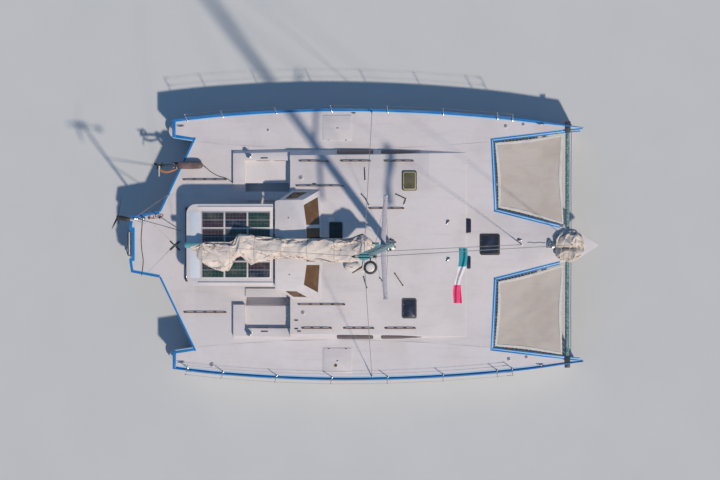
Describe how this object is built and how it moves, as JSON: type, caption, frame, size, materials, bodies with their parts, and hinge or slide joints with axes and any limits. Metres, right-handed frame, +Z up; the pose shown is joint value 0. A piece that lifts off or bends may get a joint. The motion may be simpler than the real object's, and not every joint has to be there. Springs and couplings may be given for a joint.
{
  "type": "sailing catamaran",
  "caption": "Two-hulled sailing boat with a wide deck, pilothouse, solar hard top, trampolines, mast with stays, lowered sails and folding gear.",
  "frame": {"origin": "on the centreline at the waterline, 0.57 m behind the mast's centre", "axes": "+X towards the bow, +Y to port, +Z up"},
  "size_m": [17.2503, 9.8744, 20.29],
  "materials": {
    "white": "painted, slightly worn",
    "blue": "painted",
    "antifoul": "matt bottom paint",
    "steel": "polished stainless steel",
    "alloy": "anodised",
    "glass": "smoked",
    "dark": "satin",
    "panel": "solar cells under glass",
    "cloth": "sailcloth",
    "net": "laced mesh cloth",
    "wood": "oiled",
    "canvas": "canvas cover",
    "bronze": "cast bronze"
  },
  "bodies": {
    "boat": {"hull_port": "white", "hull_starboard": "white", "bridgedeck": "white", "saloon_bulkhead": "white", "side_deck_port": "white", "side_deck_starboard": "white", "house_deck_port": "white", "house_deck_starboard": "white", "aft_deck": "white", "foredeck": "white", "coachroof": "white", "pilothouse_walls": "white", "pane_side_port": "glass", "pane_front_port": "glass", "pane_front_centre": "glass", "pane_front_starboard": "glass", "pane_side_starboard": "glass", "pilothouse_roof": "white", "hardtop": "white", "hardtop_frame": "steel", "solar_panels": "panel", "toe_rail_port": "blue", "toe_rail_starboard": "blue", "lifelines_port": "steel", "lifelines_starboard": "steel", "forebeam_port": "dark", "forebeam_starboard": "dark", "trampoline_port": "net", "trampoline_starboard": "net", "mast": "alloy", "forestay": "steel", "inner_stay": "steel", "shroud_port": "steel", "shroud_starboard": "steel", "winch_port": "steel", "winch_starboard": "steel", "windlass": "steel", "headsail_bundle": "cloth", "wind_generator_pole": "steel", "traveller_beam": "alloy", "outboard_bracket": "wood", "boom_crutch": "dark"},
    "rudder_left": {"rudder_port": "antifoul"},
    "rudder_right": {"rudder_starboard": "antifoul"},
    "screw_left": {"propeller_port": "bronze"},
    "screw_right": {"propeller_starboard": "bronze"},
    "wheel": {"steering_wheel": "steel"},
    "boom_and_sail": {"boom": "alloy", "mainsail_furled": "cloth"},
    "foredeck_lid": {"hatch_foredeck": "dark"},
    "roof_lid_left": {"hatch_port": "dark"},
    "roof_lid_right": {"hatch_starboard": "dark"},
    "locker_left": {"locker_lid_port": "white"},
    "locker_right": {"locker_lid_starboard": "white"},
    "door": {"companionway_door": "dark"},
    "wind_head": {"wind_generator_body": "white"},
    "wind_rotor": {"wind_generator_rotor": "white"},
    "ladder": {"boarding_ladder": "steel"},
    "outboard": {"outboard_motor": "canvas"},
    "outboard_screw": {"outboard_propeller": "dark"}
  },
  "joints": [
    {"name": "rudder_port_turn", "type": "hinge", "parent": "boat", "child": "rudder_left", "pos_m": [-6.35, 4.12, -0.5], "axis": [0, 0, 1], "range_deg": [-35, 35]},
    {"name": "rudder_starboard_turn", "type": "hinge", "parent": "boat", "child": "rudder_right", "pos_m": [-6.35, -4.12, -0.5], "axis": [0, 0, 1], "range_deg": [-35, 35]},
    {"name": "wheel_turn", "type": "hinge", "parent": "boat", "child": "wheel", "pos_m": [-3.7, 0.79, 1.7], "axis": [1, 0, 0], "range_deg": [-280, 280]},
    {"name": "propeller_port_spin", "type": "hinge", "parent": "boat", "child": "screw_left", "pos_m": [-3.48, 4.12, -0.9], "axis": [1, 0, 0], "continuous": true},
    {"name": "propeller_starboard_spin", "type": "hinge", "parent": "boat", "child": "screw_right", "pos_m": [-3.48, -4.12, -0.9], "axis": [1, 0, 0], "continuous": true},
    {"name": "boom_swing", "type": "hinge", "parent": "boat", "child": "boom_and_sail", "pos_m": [0.359, 0, 3], "axis": [0, 0, 1], "range_deg": [-75, 75]},
    {"name": "hatch_foredeck_open", "type": "hinge", "parent": "boat", "child": "foredeck_lid", "pos_m": [4.51, 0, 1.6003], "axis": [0, 1, 0], "range_deg": [0, 85]},
    {"name": "hatch_port_open", "type": "hinge", "parent": "boat", "child": "roof_lid_left", "pos_m": [1.566, 2.2655, 1.8145], "axis": [0, 1, 0], "range_deg": [0, 85]},
    {"name": "hatch_starboard_open", "type": "hinge", "parent": "boat", "child": "roof_lid_right", "pos_m": [1.566, -2.2655, 1.8145], "axis": [0, 1, 0], "range_deg": [0, 85]},
    {"name": "locker_port_open", "type": "hinge", "parent": "boat", "child": "locker_left", "pos_m": [-1.265, 3.7, 1.6003], "axis": [1, 0, 0], "range_deg": [0, 88]},
    {"name": "locker_starboard_open", "type": "hinge", "parent": "boat", "child": "locker_right", "pos_m": [-1.265, -3.7, 1.6003], "axis": [-1, 0, 0], "range_deg": [0, 88]},
    {"name": "door_open", "type": "hinge", "parent": "boat", "child": "door", "pos_m": [-3.4603, -0.38, 1.69], "axis": [0, 0, 1], "range_deg": [0, 110]},
    {"name": "wind_head_turn", "type": "hinge", "parent": "boat", "child": "wind_head", "pos_m": [-8.25, 0.93, 5], "axis": [0, 0, 1], "continuous": true},
    {"name": "wind_rotor_spin", "type": "hinge", "parent": "wind_head", "child": "wind_rotor", "pos_m": [-8.4793, 0.9813, 5.1], "axis": [0.9759, -0.2182, 0], "continuous": true},
    {"name": "ladder_fold", "type": "hinge", "parent": "boat", "child": "ladder", "pos_m": [-8.7, 0, 1.545], "axis": [0, 1, 0], "range_deg": [0, 160]},
    {"name": "outboard_tilt", "type": "hinge", "parent": "boat", "child": "outboard", "pos_m": [-7.15, 2.83, 1.73], "axis": [0, 1, 0], "range_deg": [-80, 0]},
    {"name": "outboard_propeller_spin", "type": "hinge", "parent": "outboard", "child": "outboard_screw", "pos_m": [-7.67, 2.83, 1.94], "axis": [0, 0, 1], "continuous": true}
  ],
  "couplings": [
    {"joint": "rudder_starboard_turn", "follows": "rudder_port_turn", "ratio": 1},
    {"joint": "wheel_turn", "follows": "rudder_port_turn", "ratio": 8}
  ]
}
